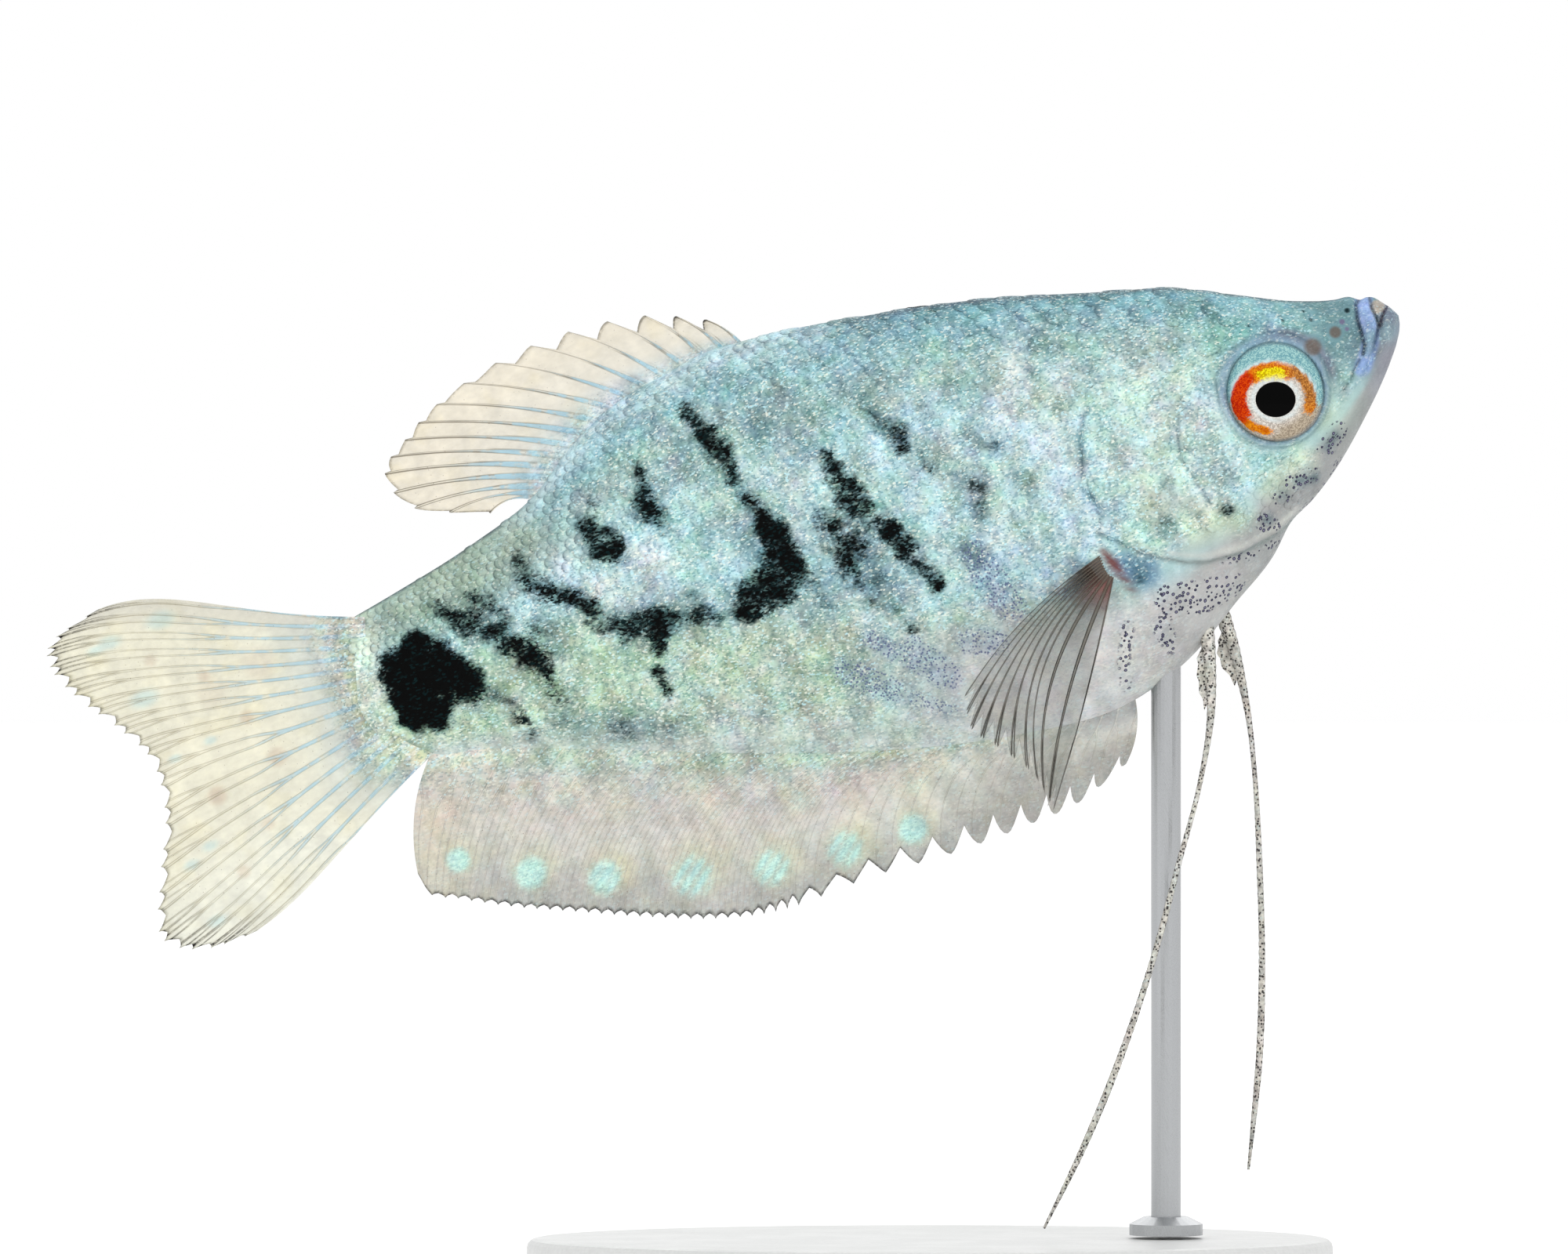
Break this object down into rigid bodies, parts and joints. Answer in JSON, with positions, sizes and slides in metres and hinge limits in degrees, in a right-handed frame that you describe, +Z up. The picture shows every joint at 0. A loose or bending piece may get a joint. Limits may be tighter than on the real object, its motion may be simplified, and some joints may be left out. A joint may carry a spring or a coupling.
{
  "type": "blue gourami",
  "caption": "Life-size still model of a deep-bodied labyrinth fish with long thread-like pelvic feelers, held head up by a rod on an oval base.",
  "frame": {"origin": "on the floor, under the middle of the whole model's box", "axes": "+X towards the fish's snout, +Y towards its left side, +Z up"},
  "size_m": [0.1176, 0.046, 0.0876],
  "materials": {
    "skin": "pale blue-green, pearly scaled skin with black blotches",
    "fin": "thin, half clear cream membrane between darker rays",
    "feeler": "whitish thread with small dark dots",
    "eye": "clear cornea over an orange and silver iris and a black pupil",
    "stand_base": "satin off-white",
    "stand_rod": "satin"
  },
  "bodies": {
    "root": {"head": "skin", "upper_jaw": "skin", "lower_jaw": "skin", "gill_cover_right": "skin", "gill_cover_left": "skin", "eye_right": "eye", "eye_left": "eye", "torso": "skin", "tail_stem": "skin", "dorsal_fin": "fin", "anal_fin": "fin", "caudal_fin_upper": "fin", "caudal_fin_lower": "fin", "pectoral_fin_right": "fin", "pectoral_fin_left": "fin", "feeler_right_root": "feeler", "feeler_right_middle": "feeler", "feeler_right_tip": "feeler", "feeler_left_root": "feeler", "feeler_left_middle": "feeler", "feeler_left_tip": "feeler", "stand_base": "stand_base", "stand_rod": "stand_rod"}
  },
  "joints": []
}
